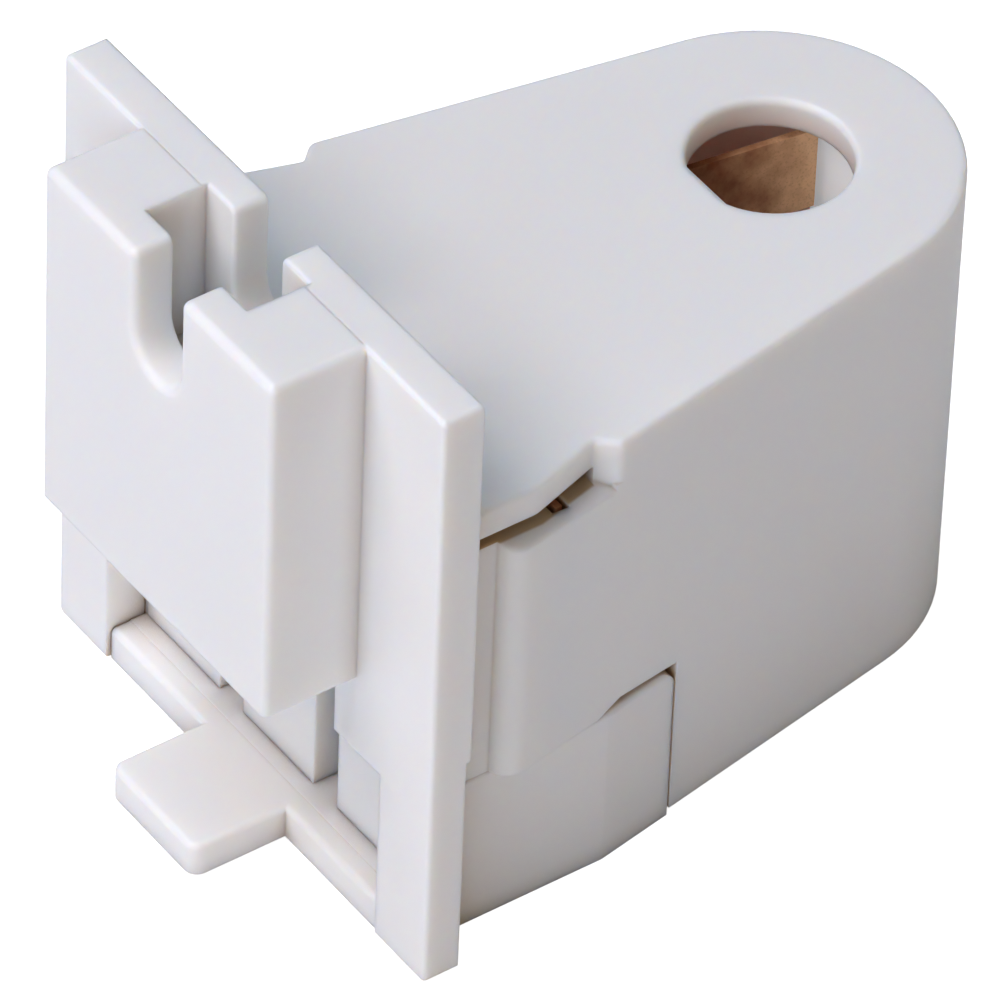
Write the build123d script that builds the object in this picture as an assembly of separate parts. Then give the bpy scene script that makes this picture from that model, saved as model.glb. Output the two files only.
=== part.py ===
# Lamp holder for a slimline fluorescent tube with a single round pin, sizes in millimetres.
# While a piece is built, x = 0 is the mirror plane, y = 0 is the outer face of the foot plate and
# z = 0 is the rear face that the holder lies on. The nose points along +y and the lamp leaves along +z.
# At the end every piece is moved along y, so that the origin is the middle of the base.

from build123d import *
from math import acos, atan2, cos, degrees, hypot, radians, sin, tan
import os

# Foot plate with its two legs
overall_height = 39.8
foot_width = 34.4
foot_thickness = 2.5
foot_lift = 0.5
foot_corner_radius = 0.35
foot_edge_radius = 0.25
leg_thickness = 2.2
leg_thin_height = 15.3
window_upper_width = 17.0
window_lower_width = 25.4
window_height = 17.15
window_upper_length = 5.15

# Block in front of the plate, with the pocket for a nut and the slots for its screw
block_width = 20.7
block_depth = 5.8
block_edge_radius = 0.4
block_front_wall = 2.4
nut_pocket_width = 9.3
nut_pocket_thickness = 3.8
screw_slot_width = 4.2
screw_slot_depth = 7.05
slot_top_radius = 0.5
slot_front_radius = 0.5
slot_lip_radius = 0.25

# Body: lamp face, tapered flanks and round nose
wall = 1.8
lamp_face_height = 29.6
nose_radius = 10.5
nose_y = 33.2
shoulder_x = 14.2
shoulder_y = 13.6
body_lift = 0.4
face_edge_radius = 0.35

# Neck behind the plate, with the open slot under the lamp face
neck_half_width = 14.3
face_neck_half_width = 14.6
face_neck_end_y = 8.0
notch_x = 13.2
notch_y = 12.5
side_slot = 1.0

# Ears that hold the fixture's sheet metal against the plate
sheet_gap = 3.25
ear_corner_radius = 1.3
ear_slope = 0.35
ear_slope_bend_y = 8.5
ear_slope_end_x = 13.3

# Hole for the lamp's pin, with a flat towards the foot
pin_hole_radius = 4.5
pin_hole_y = 33.33
pin_flat_distance = 4.28
lead_in_width = 0.18
lead_in_depth = 0.25

# Line between housing and rear cover
split_height = 10.5
split_y = 18.5
split_gap = 0.1
pry_slot_height = 0.65
pry_slot_end_height = 0.4
pry_slot_start_y = 12.7
pry_slot_full_y = 14.4
cover_clearance = 0.12

# Rear cover with its tongue
panel = 1.9
cheek_x = 14.2
cheek_front_y = 2.6
cheek_edge_radius = 0.35
cheek_corner_radius = 0.9
tongue_top = 2.55
tongue_thickness = 2.1
sill_front_y = 1.5
sill_top = 2.6
crosspiece_clearance = 0.12
crosspiece_front_y = 0.3
tab_width = 7.9
tab_reach = 5.6
tab_corner_radius = 0.8
tongue_edge_radius = 0.35
sill_back_y = 5.6
barrier_thickness = 1.2
barrier_back_y = 25.0
barrier_height = 21.0

# Wire entries and the end wall that they pass
wire_slot_width = 2.2
wire_slot_offset = 4.4
wire_slot_top = 13.0

# Pegs of the cover in bosses of the housing
peg_radius = 1.1
peg_clearance = 0.1
peg_length = 7.0
boss_wall = 0.9
boss_height = 12.0
boss_x = 9.0
boss_y = 21.5

# Contacts: one bronze strip each
strip = 0.4
leaf_width = 5.4
leaf_distance = 3.83
leaf_angle = 7.7
leaf_before_pin = 8.9
leaf_after_pin = 5.0
leaf_bend_radius = 4.0
post_x = 11.0
post_y = 11.1
post_radius = 0.9
post_clearance = 0.1
post_collar = 0.7
post_collar_height = 0.8
groove_width = 1.1
groove_depth = 1.6
plate_end_gap = 0.2
plate_floor_gap = 0.3
plate_shoulder_height = 14.0
window_length = 5.6
window_base_height = 4.2
clamp_width = 2.0
clamp_length = 5.2
clamp_angle = 38.0

# Worked out from the sizes above
foot_height = overall_height - foot_lift
block_base = window_height
window_step_height = window_height - window_upper_length
neck_inner_x = neck_half_width - wall
groove_reach = neck_inner_x + groove_depth
end_wall_y = foot_thickness + wall
ear_front_y = foot_thickness + sheet_gap
lamp_face_under = lamp_face_height - wall
side_top = lamp_face_under - side_slot
nut_pocket_front_y = -block_depth + block_front_wall
nut_pocket_back_y = nut_pocket_front_y + nut_pocket_thickness
screw_height = overall_height - screw_slot_depth + screw_slot_width / 2
nut_pocket_floor = screw_height - nut_pocket_width / 2
pry_slot_top = split_height + split_gap + pry_slot_height
wire_slot_inner_x = wire_slot_offset - wire_slot_width / 2
wire_slot_outer_x = wire_slot_offset + wire_slot_width / 2
root_bend_radius = post_radius + post_clearance + strip / 2
plate_y = post_y - root_bend_radius
plate_base = panel + plate_floor_gap
cheek_inner_x = neck_inner_x
crosspiece_half_width = window_lower_width / 2 - crosspiece_clearance
base_middle_y = (nose_y + nose_radius - block_depth) / 2

# Angle of the flank: the line from the shoulder that touches the nose
shoulder_to_nose = hypot(shoulder_x, shoulder_y - nose_y)
flank_angle = atan2(shoulder_y - nose_y, shoulder_x) + acos(nose_radius / shoulder_to_nose)


def side_x(y, inset=0.0):
    # x of the flank, or of a line that runs inside it at the given distance
    return (nose_radius - inset - sin(flank_angle) * (y - nose_y)) / cos(flank_angle)


def slab(x_range, y_range, z_range):
    # plain block between two corners
    low = Vector(x_range[0], y_range[0], z_range[0])
    high = Vector(x_range[1], y_range[1], z_range[1])
    size = high - low
    return Pos((low + high) / 2) * Box(size.X, size.Y, size.Z)


def raised(sketch, base, top):
    # upright piece between two heights on a plan outline
    return extrude(Pos(0, 0, base) * sketch, top - base, dir=(0, 0, 1))


def both_sides(shape):
    # the shape on the +x side together with its mirror image
    return shape + mirror(shape, Plane.YZ)


def corners_rounded(sketch, corners, radius):
    # plan outline with the named corners rounded on both sides of the mirror plane
    picked = [
        v for v in sketch.vertices()
        if any(abs(abs(v.X) - x) < 0.01 and abs(v.Y - y) < 0.01 for x, y in corners)
    ]
    return fillet(picked, radius)


def half_plan(points):
    # closed outline from the points of its +x side, mirrored
    mirrored = [(-x, y) for x, y in reversed(points)]
    return Polygon(*points, *mirrored, align=None)


def nose_plan(front_y, inset=0.0):
    # outline of the tapered body and its round nose, from front_y on
    radius = nose_radius - inset
    touch = (radius * cos(flank_angle), nose_y + radius * sin(flank_angle))
    return half_plan([(side_x(front_y, inset), front_y), touch]) + Pos(0, nose_y) * Circle(radius)


def lamp_face_plan():
    # outline of the lamp face: nose, shoulders, notches and the neck that runs into the plate
    radius = nose_radius
    touch = (radius * cos(flank_angle), nose_y + radius * sin(flank_angle))
    neck = [
        (face_neck_half_width, foot_thickness / 2),
        (face_neck_half_width, face_neck_end_y),
        (notch_x, notch_y),
        (shoulder_x, shoulder_y),
        touch,
    ]
    plan = half_plan(neck) + Pos(0, nose_y) * Circle(radius)
    plan = corners_rounded(plan, [(face_neck_half_width, face_neck_end_y)], 1.5)
    plan = corners_rounded(plan, [(notch_x, notch_y)], 0.35)
    return corners_rounded(plan, [(shoulder_x, shoulder_y)], 0.7)


def screw_slot_cut(y_range):
    # U-shaped slot, open at the top
    above = overall_height + 1
    profile = Pos(0, (screw_height + above) / 2) * Rectangle(screw_slot_width, above - screw_height)
    profile += Pos(0, screw_height) * Circle(screw_slot_width / 2)
    plane = Plane(origin=(0, y_range[0], 0), x_dir=(1, 0, 0), z_dir=(0, -1, 0))
    return extrude(plane * profile, y_range[1] - y_range[0], dir=(0, 1, 0))


def nut_pocket_cut():
    return slab(
        (-nut_pocket_width / 2, nut_pocket_width / 2),
        (nut_pocket_front_y, nut_pocket_back_y),
        (nut_pocket_floor, overall_height + 1),
    )


def slot_softened(body, face_y, outline_radius):
    # rounds the two top edges of a screw slot, then its outline on the face at the given y
    half = screw_slot_width / 2
    tops = [
        e for e in body.edges().filter_by(Axis.Y)
        if abs(e.center().Z - overall_height) < 0.01 and abs(abs(e.center().X) - half) < 0.01
    ]
    body = fillet(tops, slot_top_radius)
    reach = half + slot_top_radius + 0.01
    outline = [
        e for e in body.edges()
        if abs(e.center().Y - face_y) < 0.01
        and abs(e.center().X) < reach
        and screw_height - half - 0.01 < e.center().Z < overall_height - 0.001
    ]
    return fillet(outline, outline_radius)


def foot_plate():
    # plate with rounded corners, softened front rim and the screw slot through its lip
    plate = slab((-foot_width / 2, foot_width / 2), (0, foot_thickness), (foot_lift, overall_height))
    plate = fillet(plate.edges().filter_by(Axis.Y), foot_corner_radius)
    plate = fillet(plate.faces().sort_by(Axis.Y)[0].edges(), foot_edge_radius)
    plate -= nut_pocket_cut()
    plate -= screw_slot_cut((nut_pocket_back_y - 0.01, foot_thickness + 1))
    return slot_softened(plate, nut_pocket_back_y, slot_lip_radius)


def foot_block():
    # block in front of the plate with its screw slot, whose edges are well rounded
    block = slab(
        (-block_width / 2, block_width / 2),
        (-block_depth, 0.1),
        (block_base, overall_height),
    )
    block = fillet(block.edges().filter_by(Axis.Z).group_by(Axis.Y)[0], block_edge_radius)
    block -= screw_slot_cut((-block_depth - 1, nut_pocket_front_y + 0.01))
    block = slot_softened(block, -block_depth, slot_front_radius)
    return block - nut_pocket_cut()


def foot():
    # plate and block as one, with the lower part of the legs thinned behind
    thinned = slab(
        (neck_half_width, foot_width),
        (leg_thickness, foot_thickness + 1),
        (0, leg_thin_height),
    )
    return foot_plate() + foot_block() - both_sides(thinned)


def window_cut():
    # window between the legs, wider in its lower part, as deep as the plate is thick
    upper = slab(
        (-window_upper_width / 2, window_upper_width / 2),
        (-0.01, foot_thickness),
        (window_step_height - 1, block_base),
    )
    return upper + slab(
        (-window_lower_width / 2, window_lower_width / 2),
        (-1, foot_thickness),
        (0, window_step_height),
    )


def slope_wedge(start, end):
    # room above a slope that falls outwards from a line on the top of the side wall
    along = Vector(end[0] - start[0], end[1] - start[1], 0).normalized()
    outwards = Vector(along.Y, -along.X, 0)
    extra = 0.6
    origin = Vector(start[0], start[1], side_top) - along * extra
    plane = Plane(origin=origin, x_dir=outwards, z_dir=along)
    # the plane's own y axis points up or down with the handedness of the two directions above
    up = 1 if plane.y_dir.Z > 0 else -1
    reach = foot_width / 8
    wedge = Polygon((0, 0), (reach, -up * reach * ear_slope), (reach, up), (0, up), align=None)
    length = hypot(end[0] - start[0], end[1] - start[1]) + 2 * extra
    return extrude(plane * wedge, length, dir=along)


def ear_slope_cut():
    # the top of the ear falls outwards from the slot's edge, beside the plate and up to the notch
    bend = (neck_half_width, ear_slope_bend_y)
    return slope_wedge((neck_half_width, ear_front_y - 1), bend) + slope_wedge(
        bend, (ear_slope_end_x, notch_y)
    )


def upper_walls():
    # flanks, ears and neck up to the open side slot, then the closed stretch from the notch on
    flank = nose_plan(ear_front_y)
    flank = corners_rounded(flank, [(side_x(ear_front_y), ear_front_y)], ear_corner_radius)
    neck = half_plan([(neck_half_width, foot_thickness / 2), (neck_half_width, ear_front_y + 1)])
    walls = raised(flank + neck, split_height + split_gap, side_top)
    walls -= both_sides(ear_slope_cut())
    closed = lamp_face_plan() & Pos(0, notch_y + 50) * Rectangle(100, 100)
    return walls + raised(closed, side_top - 0.2, lamp_face_under)


def lower_walls():
    # walls round the nose that reach down beside the rear cover
    return raised(nose_plan(split_y + split_gap), body_lift, split_height + 1)


def lamp_face():
    # flat face that the lamp rests against, with its upper rim softened
    face = raised(lamp_face_plan(), lamp_face_under, lamp_face_height)
    rim = face.edges().group_by(Axis.Z)[-1]
    return fillet(rim, face_edge_radius)


def cavity():
    # hollow inside the flanks and the neck, open at the rear
    inside = nose_plan(notch_y, wall)
    inside += half_plan([(neck_inner_x, end_wall_y), (neck_inner_x, notch_y + 1)])
    return raised(inside, -1, lamp_face_under)


def pry_slot_cut():
    # the flank's lower edge rises towards the seam, which leaves a narrow slot over the cover
    base = split_height - 1
    top = pry_slot_top
    low = split_height + split_gap
    profile = Polygon(
        (pry_slot_start_y, base),
        (pry_slot_start_y, low),
        (pry_slot_full_y, top),
        (split_y + split_gap, low + pry_slot_end_height),
        (split_y + split_gap, base),
        align=None,
    )
    plane = Plane(origin=(-foot_width, 0, 0), x_dir=(0, 1, 0), z_dir=(1, 0, 0))
    return extrude(plane * profile, 2 * foot_width, dir=(1, 0, 0))


def end_wall():
    # wall that closes the neck: behind the plate, and down between the legs to the cover's sill
    return slab(
        (-cheek_inner_x + cover_clearance, cheek_inner_x - cover_clearance),
        (foot_thickness, end_wall_y),
        (sill_top + split_gap / 2, split_height + 2),
    ) + slab(
        (-neck_half_width, neck_half_width),
        (foot_thickness, end_wall_y),
        (split_height + split_gap, block_base + 1),
    ) + slab(
        (-neck_half_width, neck_half_width),
        (foot_thickness / 2, end_wall_y),
        (block_base, lamp_face_height - wall / 2),
    )


def wire_slot_cut():
    # upright slot with a round top for one wire, open at its foot
    radius = wire_slot_width / 2
    straight_top = wire_slot_top - radius
    slot = slab(
        (wire_slot_inner_x, wire_slot_outer_x),
        (foot_thickness - 0.5, end_wall_y + 1),
        (0, straight_top),
    )
    arch = Pos(wire_slot_offset, (foot_thickness + end_wall_y) / 2 + 0.25, straight_top)
    return slot + arch * Rot(90, 0, 0) * Cylinder(radius, end_wall_y - foot_thickness + 1.5)


def pin_hole_cut():
    # round hole with a short lead-in, both cut short by the flat
    depth = wall + 1
    hole = Pos(0, pin_hole_y, lamp_face_under - 0.5)
    hole *= Cylinder(pin_hole_radius, depth, align=(Align.CENTER, Align.CENTER, Align.MIN))
    lead = Pos(0, pin_hole_y, lamp_face_height - lead_in_depth)
    lead *= Cone(
        pin_hole_radius,
        pin_hole_radius + lead_in_width,
        lead_in_depth,
        align=(Align.CENTER, Align.CENTER, Align.MIN),
    )
    room = 4 * pin_hole_radius
    beyond_flat = slab(
        (-room, room),
        (pin_hole_y - pin_flat_distance, pin_hole_y + room),
        (0, overall_height),
    )
    return (hole + lead) & beyond_flat


def contact_groove_cut():
    # groove in the flank that takes the outer edge of a contact's plate
    return slab(
        (neck_inner_x - 0.5, groove_reach),
        (plate_y - groove_width / 2, plate_y + groove_width / 2),
        (split_height - 1, side_top + 0.2),
    )


def contact_post():
    # round post under the lamp face that the contact's root is folded round
    collar_radius = post_radius + post_collar
    post_base = side_top - leaf_width - 1
    post = Pos(post_x, post_y, post_base)
    post *= Cylinder(
        post_radius,
        lamp_face_under + 0.5 - post_base,
        align=(Align.CENTER, Align.CENTER, Align.MIN),
    )
    collar = Pos(post_x, post_y, lamp_face_under - post_collar_height)
    collar *= Cylinder(
        collar_radius,
        post_collar_height + 0.5,
        align=(Align.CENTER, Align.CENTER, Align.MIN),
    )
    return post + (collar & slab((0, neck_inner_x + 0.5), (0, 2 * post_y), (0, overall_height)))


def peg_boss():
    # boss on the inside of the flank for one of the cover's pegs
    outer = peg_radius + peg_clearance + boss_wall
    base = panel + split_gap
    boss = Pos(boss_x, boss_y, base)
    boss *= Cylinder(outer, boss_height - base, align=(Align.CENTER, Align.CENTER, Align.MIN))
    web = slab(
        (boss_x, side_x(boss_y, wall / 2)),
        (boss_y - outer * 0.6, boss_y + outer * 0.6),
        (base, boss_height),
    )
    return boss + web


def peg_bore_cut():
    base = Pos(boss_x, boss_y, 0)
    depth = panel + peg_length + 0.5
    bore = Cylinder(peg_radius + peg_clearance, depth, align=(Align.CENTER, Align.CENTER, Align.MIN))
    return base * bore


def build_housing():
    # one moulding: foot, neck, ears, flanks, nose and lamp face
    body = upper_walls() + lower_walls() + lamp_face()
    body -= cavity()
    body -= pry_slot_cut() & slab((-99, 99), (notch_y, split_y + split_gap), (0, pry_slot_top))
    body += foot() + end_wall()
    body -= window_cut()
    body += both_sides(peg_boss()) + both_sides(contact_post())
    body -= both_sides(contact_groove_cut())
    body -= both_sides(wire_slot_cut())
    body -= both_sides(peg_bore_cut())
    return body - pin_hole_cut()


def tongue():
    # crosspiece between the legs with the tab that stands out in front of the foot
    base = tongue_top - tongue_thickness
    half = crosspiece_half_width
    bar = slab((-half, half), (crosspiece_front_y, sill_back_y), (base, tongue_top))
    tab = slab(
        (-tab_width / 2, tab_width / 2),
        (-tab_reach, crosspiece_front_y + 1),
        (base, tongue_top),
    )
    tab = fillet(tab.edges().filter_by(Axis.Z).group_by(Axis.Y)[0], tab_corner_radius)
    top = (bar + tab).faces().sort_by(Axis.Z)[-1]
    rims = [e for e in top.edges() if e.center().Y < cheek_front_y]
    piece = fillet(rims, tongue_edge_radius)
    return piece + slab((-half, half), (sill_front_y, sill_back_y), (base, sill_top))


def cheek_plan():
    # outline of the cover's wide part: straight beside the neck, then along the flank
    return half_plan(
        [
            (cheek_x, cheek_front_y),
            (cheek_x, shoulder_y),
            (side_x(split_y - split_gap / 2), split_y - split_gap / 2),
        ]
    )


def cheek_side_profile():
    # side outline of the cheeks, whose upper corner beside the seam is round
    rear = split_y - split_gap / 2
    points = [(0, 0), (rear, 0), (rear, split_height), (0, split_height)]
    outline = Polygon(*points, align=None)
    corner = [v for v in outline.vertices() if v.X > rear - 0.01 and v.Y > split_height - 0.01]
    plane = Plane(origin=(-foot_width, 0, 0), x_dir=(0, 1, 0), z_dir=(1, 0, 0))
    return extrude(plane * fillet(corner, cheek_corner_radius), 2 * foot_width, dir=(1, 0, 0))


def cover_cheeks():
    # two upright walls that close the sides beside the wires
    inner = half_plan(
        [
            (cheek_inner_x, 0),
            (cheek_inner_x, notch_y),
            (side_x(split_y + 1, wall), split_y + 1),
        ]
    )
    cheeks = raised(cheek_plan(), 0, split_height)
    top_rim = cheeks.edges().group_by(Axis.Z)[-1].filter_by(Axis.X, reverse=True)
    cheeks = fillet(top_rim, cheek_edge_radius) & cheek_side_profile()
    return cheeks - raised(inner, panel, split_height + 1)


def build_rear_cover():
    # rear panel, cheeks, sill with the tongue, barrier between the two contacts, and pegs
    front_cut = slab((-cheek_inner_x, cheek_inner_x), (0, end_wall_y - cover_clearance), (-1, 50))
    cover = cover_cheeks() - front_cut
    cover += raised(nose_plan(split_y - 2, wall + cover_clearance), 0, panel)
    cover += slab(
        (-cheek_inner_x - 0.5, cheek_inner_x + 0.5),
        (end_wall_y - cover_clearance, sill_back_y),
        (0, sill_top),
    )
    cover += tongue()
    cover += slab(
        (-barrier_thickness / 2, barrier_thickness / 2),
        (sill_back_y - 1, barrier_back_y),
        (panel - 0.5, barrier_height),
    )
    peg = Pos(boss_x, boss_y, panel - 0.5)
    peg *= Cylinder(peg_radius, peg_length + 0.5, align=(Align.CENTER, Align.CENTER, Align.MIN))
    return cover + both_sides(peg)


def leaf_point(along, off=0.0):
    # plan point on the leaf's middle line, counted from its nearest point to the lamp's axis
    tilt = radians(leaf_angle)
    x = (leaf_distance + off) * cos(tilt) - along * sin(tilt)
    y = pin_hole_y + (leaf_distance + off) * sin(tilt) + along * cos(tilt)
    return x, y


def contact_leaf():
    # leaf that presses on the lamp's pin, from the fold round the post to its free end
    knee = leaf_point(-leaf_before_pin)
    tip = leaf_point(leaf_after_pin)
    # where the line from the knee touches the fold
    reach = hypot(knee[0] - post_x, knee[1] - post_y)
    bearing = atan2(knee[1] - post_y, knee[0] - post_x)
    touch = bearing + acos(root_bend_radius / reach)
    start = (post_x + root_bend_radius * cos(touch), post_y + root_bend_radius * sin(touch))
    sweep = degrees(touch) - 270
    if sweep > 0:
        sweep -= 360
    fold = CenterArc((post_x, post_y), root_bend_radius, 270, sweep)
    run = FilletPolyline(start, knee, tip, radius=leaf_bend_radius)
    plan = trace([*fold.edges(), *run.edges()], strip)
    return raised(plan, side_top - leaf_width, side_top)


def contact_plate():
    # upright plate: its outer edge sits in the flank's groove, its lower part faces the wire
    outer_x = groove_reach - plate_end_gap
    lower_outer_x = cheek_inner_x - plate_end_gap
    profile = Polygon(
        (post_x, side_top),
        (outer_x, side_top),
        (outer_x, split_height + 2 * plate_end_gap),
        (lower_outer_x, split_height + 2 * plate_end_gap),
        (lower_outer_x, plate_base),
        (wire_slot_inner_x - strip, plate_base),
        (wire_slot_inner_x - strip, plate_shoulder_height),
        (post_x, plate_shoulder_height),
        align=None,
    )
    window_top = window_base_height + window_length
    window = Pos(wire_slot_offset, (window_base_height + window_top) / 2)
    profile -= window * Rectangle(wire_slot_width, window_length)
    plane = Plane(origin=(0, plate_y - strip / 2, 0), x_dir=(1, 0, 0), z_dir=(0, -1, 0))
    return extrude(plane * profile, strip, dir=(0, 1, 0))


def wire_clamp():
    # tongue cut from the plate's window and bent forward, which bites the wire
    tilt = radians(clamp_angle)
    root_z = window_base_height + window_length + strip
    root = Vector(plate_y - strip / 2, root_z)
    down = Vector(sin(tilt), -cos(tilt))
    across = Vector(cos(tilt), sin(tilt))
    corners = [
        root,
        root + down * clamp_length,
        root + down * clamp_length + across * strip,
        root + across * strip,
    ]
    profile = Polygon(*[(c.X, c.Y) for c in corners], align=None)
    side_plane = Plane(
        origin=(wire_slot_offset - clamp_width / 2, 0, 0), x_dir=(0, 1, 0), z_dir=(1, 0, 0)
    )
    return extrude(side_plane * profile, clamp_width, dir=(1, 0, 0))


def build_contact():
    # contact of the +x side
    return contact_leaf() + contact_plate() + wire_clamp()


def main():
    contact = build_contact()
    pieces = {
        "housing": build_housing(),
        "rear_cover": build_rear_cover(),
        "contact_right": contact,
        "contact_left": mirror(contact, Plane.YZ),
    }
    os.makedirs("parts", exist_ok=True)
    for name, piece in pieces.items():
        export_step(Pos(0, -base_middle_y, 0) * piece, f"parts/{name}.step")
    print("flank angle", round(degrees(flank_angle), 3))
    print("contact hinge", round(post_x, 4), round(post_y - base_middle_y, 4))
    print("pin hole y", round(pin_hole_y - base_middle_y, 4))


main()
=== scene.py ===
import bpy
from math import cos, radians, sin
from mathutils import Matrix, Vector


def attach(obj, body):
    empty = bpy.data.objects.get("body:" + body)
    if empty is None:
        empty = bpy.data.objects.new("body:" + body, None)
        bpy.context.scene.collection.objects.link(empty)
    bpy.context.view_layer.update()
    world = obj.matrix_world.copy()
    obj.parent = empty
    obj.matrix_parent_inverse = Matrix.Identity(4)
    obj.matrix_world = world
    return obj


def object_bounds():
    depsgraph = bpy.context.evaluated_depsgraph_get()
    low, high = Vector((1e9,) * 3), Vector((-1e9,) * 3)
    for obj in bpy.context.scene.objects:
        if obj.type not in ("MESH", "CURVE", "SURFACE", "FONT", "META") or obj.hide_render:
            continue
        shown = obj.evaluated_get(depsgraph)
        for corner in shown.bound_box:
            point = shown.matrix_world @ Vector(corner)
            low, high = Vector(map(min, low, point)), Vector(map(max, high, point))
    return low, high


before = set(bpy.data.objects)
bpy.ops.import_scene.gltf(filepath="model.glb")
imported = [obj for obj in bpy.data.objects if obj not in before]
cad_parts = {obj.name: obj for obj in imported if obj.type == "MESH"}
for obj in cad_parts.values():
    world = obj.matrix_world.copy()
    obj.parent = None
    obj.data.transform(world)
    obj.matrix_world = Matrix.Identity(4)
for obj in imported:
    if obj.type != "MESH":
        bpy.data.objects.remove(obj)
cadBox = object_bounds()
print("scene: packed holder loaded")

mm = 0.001
cameraOnly = ("visible_diffuse", "visible_glossy", "visible_transmission", "visible_shadow")


def newMaterial(name):
    # the material, its nodes, its links and the shader that they lead to
    material = bpy.data.materials.new(name)
    material.use_nodes = True
    nodes = material.node_tree.nodes
    return material, nodes, material.node_tree.links, nodes["Principled BSDF"]


def dress(nodeName, material):
    # one finish over a whole moulded or folded piece
    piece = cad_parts[nodeName]
    for slot in piece.material_slots:
        slot.material = material


moulding = {
    "colour": (0.86, 0.85, 0.83),
    "cloudColour": (0.845, 0.833, 0.81),
    "cloudScale": 90.0,  # faint flow marks, a centimetre or so across
    "cloudDetail": 3.0,
    "roughness": 0.34,
    "ior": 1.5,
    "scatter": 1.0,  # light passes through the thin walls
    "scatterDepth": 1.2 * mm,
    "scatterRadius": (1.0, 0.8, 0.58),
    "edgeRound": 0.22 * mm,
    "edgeSamples": 6,
    "softRound": 0.5 * mm,  # mouth of the pin hole and slope over the ears
    "softZones": [
        # middle and half size of a box, both sides of the holder alike
        ((0.0, 14.0 * mm, 30.0 * mm), (5.6 * mm, 6.2 * mm, 1.0 * mm)),
        ((14.1 * mm, -9.5 * mm, 25.8 * mm), (3.2 * mm, 4.8 * mm, 1.4 * mm)),
    ],
    "softFade": 0.5 * mm,
    "slotShadeColour": (0.50, 0.37, 0.22),  # painted shade: warm tan shade on the ledge at the bottom of the side slot
    "slotShadeZone": ((13.4 * mm, -10.6 * mm, 26.97 * mm), (1.3 * mm, 4.05 * mm, 0.2 * mm)),
    "slotShadeFade": 0.05 * mm,
    "noseShadeColour": (0.86, 0.62, 0.48),  # painted shade and painted reflection of the bronze inside the nose
    "innerMiddle": (0, 14.4 * mm, 0),
    "innerRadius": 9.3 * mm,
    "innerFull": 26.8 * mm,  # the painted shade is full below this height
    "innerClear": 29.2 * mm,  # and gone above this one
    "grainScale": 5200.0,
    "grainHeight": 0.004 * mm,
    "grainStrength": 0.25,
    "glow": 0.0,
    "glowColour": (1.0, 0.97, 0.97),
    "creviceShadeColour": (0.46, 0.32, 0.20),  # painted shade: warm tint where the narrow gaps are shut in
    "creviceReach": 3.0 * mm,
    "creviceSamples": 4,
    "creviceDark": 0.12,  # open share of the surroundings at which the painted shade is full
    "creviceClear": 0.58,  # and at which it has gone
}


def boxMask(nodes, links, where, middle, half, fade):
    # 1 inside a box and inside its mirror image at -x, 0 outside
    sides = nodes.new("ShaderNodeSeparateXYZ")
    links.new(where, sides.inputs["Vector"])
    across = nodes.new("ShaderNodeMath")
    across.operation = "ABSOLUTE"
    links.new(sides.outputs["X"], across.inputs[0])
    folded = nodes.new("ShaderNodeCombineXYZ")
    links.new(across.outputs["Value"], folded.inputs["X"])
    links.new(sides.outputs["Y"], folded.inputs["Y"])
    links.new(sides.outputs["Z"], folded.inputs["Z"])
    last = folded.outputs["Vector"]
    for operation, value in (("SUBTRACT", middle), ("ABSOLUTE", None), ("SUBTRACT", half)):
        step = nodes.new("ShaderNodeVectorMath")
        step.operation = operation
        links.new(last, step.inputs[0])
        if value:
            step.inputs[1].default_value = value
        last = step.outputs["Vector"]
    parts = nodes.new("ShaderNodeSeparateXYZ")
    links.new(last, parts.inputs["Vector"])
    furthest = parts.outputs["X"]
    for axis in ("Y", "Z"):
        larger = nodes.new("ShaderNodeMath")
        larger.operation = "MAXIMUM"
        links.new(furthest, larger.inputs[0])
        links.new(parts.outputs[axis], larger.inputs[1])
        furthest = larger.outputs["Value"]
    inside = nodes.new("ShaderNodeMapRange")
    inside.inputs["From Max"].default_value = fade
    inside.inputs["To Min"].default_value = 1.0
    inside.inputs["To Max"].default_value = 0.0
    links.new(furthest, inside.inputs["Value"])
    return inside.outputs["Result"]


def noseShadeMask(nodes, links, where, settings):
    # 1 inside the nose where the painted shade goes, fading out over the height of the pin hole
    offset = nodes.new("ShaderNodeVectorMath")
    offset.operation = "SUBTRACT"
    offset.inputs[1].default_value = settings["innerMiddle"]
    flat = nodes.new("ShaderNodeVectorMath")
    flat.operation = "MULTIPLY"
    flat.inputs[1].default_value = (1, 1, 0)
    reach = nodes.new("ShaderNodeVectorMath")
    reach.operation = "LENGTH"
    within = nodes.new("ShaderNodeMath")
    within.operation = "LESS_THAN"
    within.inputs[1].default_value = settings["innerRadius"]
    height = nodes.new("ShaderNodeSeparateXYZ")
    low = nodes.new("ShaderNodeMapRange")
    low.inputs["From Min"].default_value = settings["innerClear"]
    low.inputs["From Max"].default_value = settings["innerFull"]
    both = nodes.new("ShaderNodeMath")
    both.operation = "MULTIPLY"
    links.new(where, offset.inputs[0])
    links.new(offset.outputs["Vector"], flat.inputs[0])
    links.new(flat.outputs["Vector"], reach.inputs[0])
    links.new(reach.outputs["Value"], within.inputs[0])
    links.new(where, height.inputs["Vector"])
    links.new(height.outputs["Z"], low.inputs["Value"])
    links.new(within.outputs["Value"], both.inputs[0])
    links.new(low.outputs["Result"], both.inputs[1])
    return both.outputs["Value"]


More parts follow.
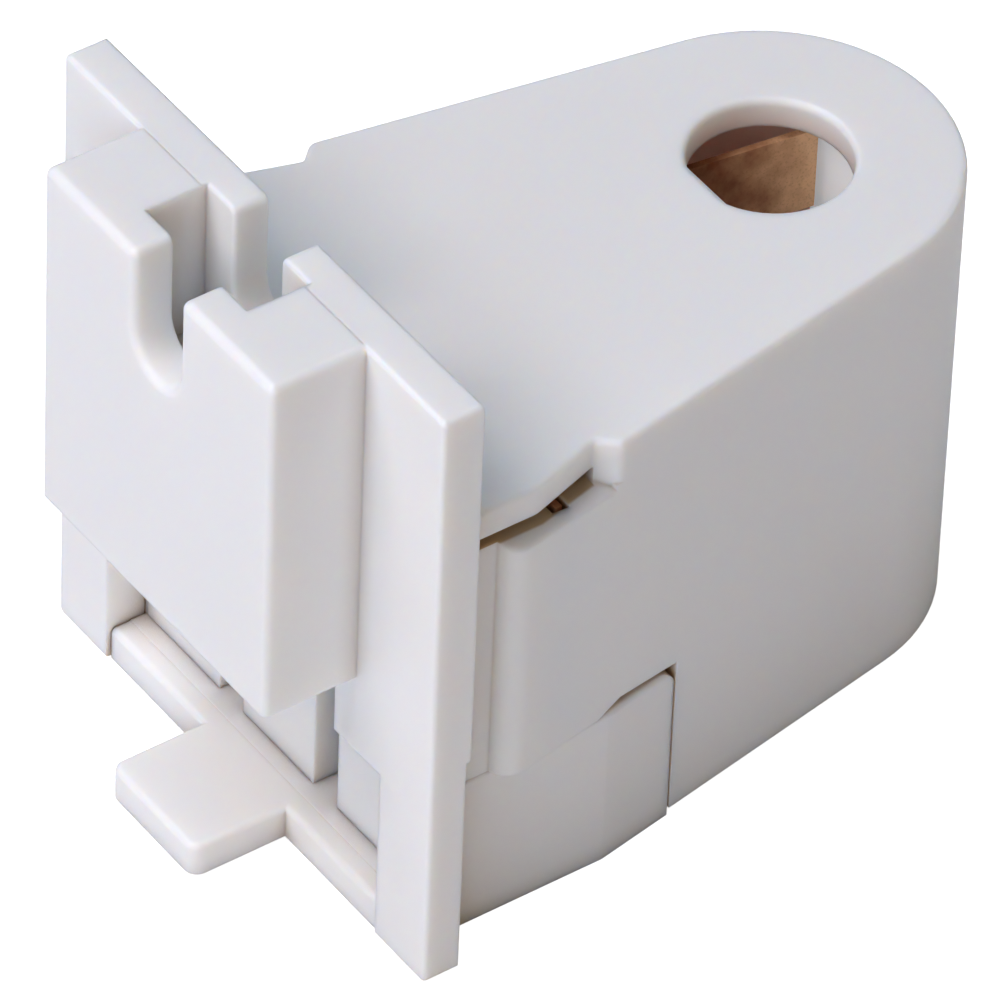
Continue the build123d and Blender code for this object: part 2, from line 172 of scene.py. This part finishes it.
def mouldedPlastic(name, settings):
    material, nodes, links, skin = newMaterial(name)
    place = nodes.new("ShaderNodeTexCoord")
    where = place.outputs["Object"]
    clouds = nodes.new("ShaderNodeTexNoise")
    clouds.inputs["Scale"].default_value = settings["cloudScale"]
    clouds.inputs["Detail"].default_value = settings["cloudDetail"]
    links.new(where, clouds.inputs["Vector"])
    tint = nodes.new("ShaderNodeMix")
    tint.data_type = "RGBA"
    tint.inputs["A"].default_value = (*settings["colour"], 1)
    tint.inputs["B"].default_value = (*settings["cloudColour"], 1)
    links.new(clouds.outputs["Fac"], tint.inputs["Factor"])
    # painted shade: warm tint in narrow gaps, by how shut in the surface is
    openness = nodes.new("ShaderNodeAmbientOcclusion")
    openness.samples = settings["creviceSamples"]
    openness.inputs["Distance"].default_value = settings["creviceReach"]
    depth = nodes.new("ShaderNodeMapRange")
    depth.inputs["From Min"].default_value = settings["creviceDark"]
    depth.inputs["From Max"].default_value = settings["creviceClear"]
    links.new(openness.outputs["AO"], depth.inputs["Value"])
    creviceShade = nodes.new("ShaderNodeMix")
    creviceShade.data_type = "RGBA"
    creviceShade.inputs["A"].default_value = (*settings["creviceShadeColour"], 1)
    links.new(depth.outputs["Result"], creviceShade.inputs["Factor"])
    links.new(tint.outputs["Result"], creviceShade.inputs["B"])
    # painted shade and painted reflection of the bronze inside the nose
    noseShade = nodes.new("ShaderNodeMix")
    noseShade.data_type = "RGBA"
    noseShade.inputs["B"].default_value = (*settings["noseShadeColour"], 1)
    links.new(noseShadeMask(nodes, links, where, settings), noseShade.inputs["Factor"])
    links.new(creviceShade.outputs["Result"], noseShade.inputs["A"])
    # painted shade on the ledge of the side slot, laid over the colour inside a box
    slotShadeMix = nodes.new("ShaderNodeMix")
    slotShadeMix.data_type = "RGBA"
    slotShadeMix.inputs["B"].default_value = (*settings["slotShadeColour"], 1)
    slotShadeBox = (*settings["slotShadeZone"], settings["slotShadeFade"])
    links.new(boxMask(nodes, links, where, *slotShadeBox), slotShadeMix.inputs["Factor"])
    links.new(noseShade.outputs["Result"], slotShadeMix.inputs["A"])
    links.new(slotShadeMix.outputs["Result"], skin.inputs["Base Color"])
    skin.inputs["Emission Color"].default_value = (*settings["glowColour"], 1)
    skin.inputs["Emission Strength"].default_value = settings["glow"]
    skin.inputs["Roughness"].default_value = settings["roughness"]
    skin.inputs["IOR"].default_value = settings["ior"]
    skin.inputs["Subsurface Weight"].default_value = settings["scatter"]
    skin.inputs["Subsurface Scale"].default_value = settings["scatterDepth"]
    skin.inputs["Subsurface Radius"].default_value = settings["scatterRadius"]
    edges = nodes.new("ShaderNodeBevel")
    edges.samples = settings["edgeSamples"]
    softness = None
    for middle, half in settings["softZones"]:
        zone = boxMask(nodes, links, where, middle, half, settings["softFade"])
        if softness is None:
            softness = zone
            continue
        either = nodes.new("ShaderNodeMath")
        either.operation = "MAXIMUM"
        links.new(softness, either.inputs[0])
        links.new(zone, either.inputs[1])
        softness = either.outputs["Value"]
    radius = nodes.new("ShaderNodeMapRange")
    radius.inputs["To Min"].default_value = settings["edgeRound"]
    radius.inputs["To Max"].default_value = settings["softRound"]
    links.new(softness, radius.inputs["Value"])
    links.new(radius.outputs["Result"], edges.inputs["Radius"])
    grain = nodes.new("ShaderNodeTexNoise")
    grain.inputs["Scale"].default_value = settings["grainScale"]
    links.new(where, grain.inputs["Vector"])
    bump = nodes.new("ShaderNodeBump")
    bump.inputs["Strength"].default_value = settings["grainStrength"]
    bump.inputs["Distance"].default_value = settings["grainHeight"]
    links.new(grain.outputs["Fac"], bump.inputs["Height"])
    links.new(edges.outputs["Normal"], bump.inputs["Normal"])
    links.new(bump.outputs["Normal"], skin.inputs["Normal"])
    return material


whitePlastic = mouldedPlastic("whitePlastic", moulding)
dress("housing", whitePlastic)
dress("rear_cover", whitePlastic)
print("scene: moulded pieces dressed")


noseRib = {
    "front": 20.4 * mm,  # the free ends of the spring leaves stop short of it
    "thickness": 0.8 * mm,
    "left": -4.0 * mm,
    "right": 6.2 * mm,
    "base": 15.0 * mm,
    "top": 27.8 * mm,
    "paintedGlow": {  # painted light: a glow standing for light through the thin wall behind it, with the painted shades turned off
        "glow": 0.30,
        "glowColour": (0.80, 0.90, 1.0),
        "creviceDark": 0.0,
        "creviceClear": 0.02,
        "innerRadius": 0.0,
    },
}


def block(name, corner, far, material, body):
    # plain block between two corners, riding on one body
    mesh = bpy.data.meshes.new(name)
    acrossX, acrossY, acrossZ = zip(corner, far)
    corners = [(x, y, z) for x in acrossX for y in acrossY for z in acrossZ]
    faces = [(0, 1, 3, 2), (4, 6, 7, 5), (0, 4, 5, 1), (2, 3, 7, 6), (0, 2, 6, 4), (1, 5, 7, 3)]
    mesh.from_pydata(corners, [], faces)
    mesh.materials.append(material)
    piece = bpy.data.objects.new(name, mesh)
    bpy.context.collection.objects.link(piece)
    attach(piece, body)


def raiseRib(settings):
    front = settings["front"]
    near = (settings["left"], front, settings["base"])
    far = (settings["right"], front + settings["thickness"], settings["top"])
    # painted light: the rib glows though it is no lamp
    glowingPlastic = mouldedPlastic("glowingRibPlastic", {**moulding, **settings["paintedGlow"]})
    block("noseRib", near, far, glowingPlastic, "base")


raiseRib(noseRib)
print("scene: rib in the nose set")


bronze = {
    "colour": (0.95, 0.60, 0.33),
    # colour of the painted shade on the leaves, and of their dark specks
    "shadeAndSpeckColour": (0.36, 0.13, 0.05),
    "fadeFrom": 13.2 * mm,  # painted shade from the fold to here, then painted light growing to the free end
    "fadeTo": 19.4 * mm,
    "stainScale": 620.0,
    "stainDetail": 4.0,
    "stainRange": (0.3, 0.7),  # part of the noise that the stains spread over
    "stainDepth": 0.30,
    "speckScale": 6500.0,
    "speckRange": (0.30, 0.48),  # noise at which a speck is full, and gone
    "speckDepth": 0.30,
    "roughness": 0.5,
    "metallic": 0.45,
}


def springBronze(name, settings):
    material, nodes, links, skin = newMaterial(name)
    place = nodes.new("ShaderNodeTexCoord")
    along = nodes.new("ShaderNodeSeparateXYZ")
    links.new(place.outputs["Object"], along.inputs["Vector"])
    # painted shade and painted light along the leaf: darker towards the fold, lighter towards
    # the free end
    fade = nodes.new("ShaderNodeMapRange")
    fade.inputs["From Min"].default_value = settings["fadeFrom"]
    fade.inputs["From Max"].default_value = settings["fadeTo"]
    links.new(along.outputs["Y"], fade.inputs["Value"])
    stains = nodes.new("ShaderNodeTexNoise")
    stains.inputs["Scale"].default_value = settings["stainScale"]
    stains.inputs["Detail"].default_value = settings["stainDetail"]
    links.new(place.outputs["Object"], stains.inputs["Vector"])
    stainDepth = nodes.new("ShaderNodeMapRange")
    stainDepth.inputs["From Min"].default_value = settings["stainRange"][0]
    stainDepth.inputs["From Max"].default_value = settings["stainRange"][1]
    stainDepth.inputs["To Min"].default_value = -settings["stainDepth"]
    stainDepth.inputs["To Max"].default_value = settings["stainDepth"]
    links.new(stains.outputs["Fac"], stainDepth.inputs["Value"])
    share = nodes.new("ShaderNodeMath")
    share.operation = "ADD"
    share.use_clamp = True
    links.new(fade.outputs["Result"], share.inputs[0])
    links.new(stainDepth.outputs["Result"], share.inputs[1])
    tint = nodes.new("ShaderNodeMix")
    tint.data_type = "RGBA"
    tint.inputs["A"].default_value = (*settings["shadeAndSpeckColour"], 1)
    tint.inputs["B"].default_value = (*settings["colour"], 1)
    links.new(share.outputs["Value"], tint.inputs["Factor"])
    specks = nodes.new("ShaderNodeTexNoise")
    specks.inputs["Scale"].default_value = settings["speckScale"]
    links.new(place.outputs["Object"], specks.inputs["Vector"])
    speckDepth = nodes.new("ShaderNodeMapRange")
    speckDepth.inputs["From Min"].default_value = settings["speckRange"][0]
    speckDepth.inputs["From Max"].default_value = settings["speckRange"][1]
    speckDepth.inputs["To Min"].default_value = settings["speckDepth"]
    speckDepth.inputs["To Max"].default_value = 0.0
    links.new(specks.outputs["Fac"], speckDepth.inputs["Value"])
    speckled = nodes.new("ShaderNodeMix")
    speckled.data_type = "RGBA"
    speckled.inputs["B"].default_value = (*settings["shadeAndSpeckColour"], 1)
    links.new(speckDepth.outputs["Result"], speckled.inputs["Factor"])
    links.new(tint.outputs["Result"], speckled.inputs["A"])
    links.new(speckled.outputs["Result"], skin.inputs["Base Color"])
    skin.inputs["Metallic"].default_value = settings["metallic"]
    skin.inputs["Roughness"].default_value = settings["roughness"]
    return material


contactBronze = springBronze("contactBronze", bronze)
dress("contact_left", contactBronze)
dress("contact_right", contactBronze)
print("scene: contacts dressed")


table = {
    "size": 1.6,
    "colour": (0.80, 0.80, 0.80),
    "glow": 0.90,  # keeps the table almost white beside the softly shaded object
    "roughness": 0.9,
    "gap": 0.02 * mm,
}


def layFlat(name, size, height, material):
    half = size / 2
    mesh = bpy.data.meshes.new(name)
    corners = [(-half, -half, 0), (half, -half, 0), (half, half, 0), (-half, half, 0)]
    mesh.from_pydata(corners, [], [(0, 1, 2, 3)])
    mesh.materials.append(material)
    sheet = bpy.data.objects.new(name, mesh)
    bpy.context.collection.objects.link(sheet)
    sheet.location.z = height
    return sheet


def tablePaint(name, settings, glow):
    material, _, _, skin = newMaterial(name)
    skin.inputs["Base Color"].default_value = (*settings["colour"], 1)
    skin.inputs["Roughness"].default_value = settings["roughness"]
    skin.inputs["Specular IOR Level"].default_value = 0.0
    skin.inputs["Emission Color"].default_value = (1, 1, 1, 1)
    skin.inputs["Emission Strength"].default_value = glow
    return material


def layTable(settings):
    height = cadBox[0][2] - settings["gap"]
    pale = tablePaint("paleTable", settings, settings["glow"])
    top = layFlat("tableTop", settings["size"], height, pale)
    for ray in cameraOnly:
        setattr(top, ray, False)
    # the sheet under it only bounces light back at the holder
    plain = tablePaint("tableBody", settings, 0.0)
    under = layFlat("tableBounce", settings["size"], height - settings["gap"], plain)
    under.visible_camera = False


studio = {
    "aim": (0, 0, 15 * mm),
    "distance": 0.9,
    "size": 0.5,
    "softboxes": [
        # name, azimuth, elevation, power, colour
        ("keyAbove", -10, 52, 4.6, (1.0, 0.91, 0.91)),
        ("overhead", -60, 68, 3.4, (0.66, 0.79, 1.0)),
        ("frontRight", 35, 22, 2.7, (0.63, 0.78, 1.0)),
        ("rightSide", 70, 22, 0.9, (1.0, 0.62, 0.24)),
        ("behind", 180, 22, 1.8, (0.96, 0.99, 1.0)),
    ],
    "domeStrength": 0.0,  # the soft boxes give all the light
    "backdropHalf": 3.0,
}


def direction(azimuth, elevation):
    # azimuth 0 stands before the foot plate, 90 on the +x side
    turn, rise = radians(azimuth), radians(elevation)
    return Vector((sin(turn) * cos(rise), -cos(turn) * cos(rise), sin(rise)))


def hangLights(settings):
    aim = Vector(settings["aim"])
    for name, azimuth, elevation, power, colour in settings["softboxes"]:
        lamp = bpy.data.lights.new(name, "AREA")
        lamp.size = settings["size"]
        lamp.energy = power
        lamp.color = colour
        light = bpy.data.objects.new(name, lamp)
        bpy.context.collection.objects.link(light)
        light.location = aim + direction(azimuth, elevation) * settings["distance"]
        light.rotation_euler = (aim - light.location).to_track_quat("-Z", "Y").to_euler()


def paintSky(settings):
    world = bpy.data.worlds.new("studioRoom")
    bpy.context.scene.world = world
    world.use_nodes = True
    dome = world.node_tree.nodes["Background"]
    dome.inputs["Color"].default_value = (1, 1, 1, 1)
    dome.inputs["Strength"].default_value = settings["domeStrength"]


def hangBackdrop(settings):
    # white room that only the camera sees
    half = settings["backdropHalf"]
    mesh = bpy.data.meshes.new("backdrop")
    ring = [(-half, -half), (half, -half), (half, half), (-half, half)]
    corners = [(x, y, z) for z in (-half, half) for x, y in ring]
    walls = [(0, 1, 2, 3), (4, 5, 6, 7), (0, 1, 5, 4), (1, 2, 6, 5), (2, 3, 7, 6), (3, 0, 4, 7)]
    mesh.from_pydata(corners, [], walls)
    material, _, _, skin = newMaterial("backdropWhite")
    skin.inputs["Base Color"].default_value = (0, 0, 0, 1)
    skin.inputs["Specular IOR Level"].default_value = 0.0
    skin.inputs["Emission Color"].default_value = (1, 1, 1, 1)
    skin.inputs["Emission Strength"].default_value = 1.0
    mesh.materials.append(material)
    room = bpy.data.objects.new("backdrop", mesh)
    bpy.context.collection.objects.link(room)
    for ray in cameraOnly:
        setattr(room, ray, False)


view = {
    "azimuth": 53.286,
    "elevation": 42.254,
    "roll": 2.406,
    "distance": 647.68 * mm,
    "aim": (4.039 * mm, -5.469 * mm, 18.0 * mm),
    "lens": 444.92,
    "sensor": 36.0,
    "nearest": 10 * mm,
}


def setCamera(settings):
    lens = bpy.data.cameras.new("camera")
    lens.lens = settings["lens"]
    lens.sensor_width = settings["sensor"]
    lens.clip_start = settings["nearest"]
    camera = bpy.data.objects.new("camera", lens)
    bpy.context.collection.objects.link(camera)
    aim = Vector(settings["aim"])
    away = direction(settings["azimuth"], settings["elevation"])
    level = away.to_track_quat("Z", "Y").to_matrix().to_4x4()
    turn = Matrix.Rotation(radians(settings["roll"]), 4, "Z")
    camera.matrix_world = Matrix.Translation(aim + away * settings["distance"]) @ level @ turn
    bpy.context.scene.camera = camera


layTable(table)
hangBackdrop(studio)
paintSky(studio)
hangLights(studio)
setCamera(view)
bpy.context.scene.view_settings.view_transform = "Standard"
print("scene: table, light and camera set")
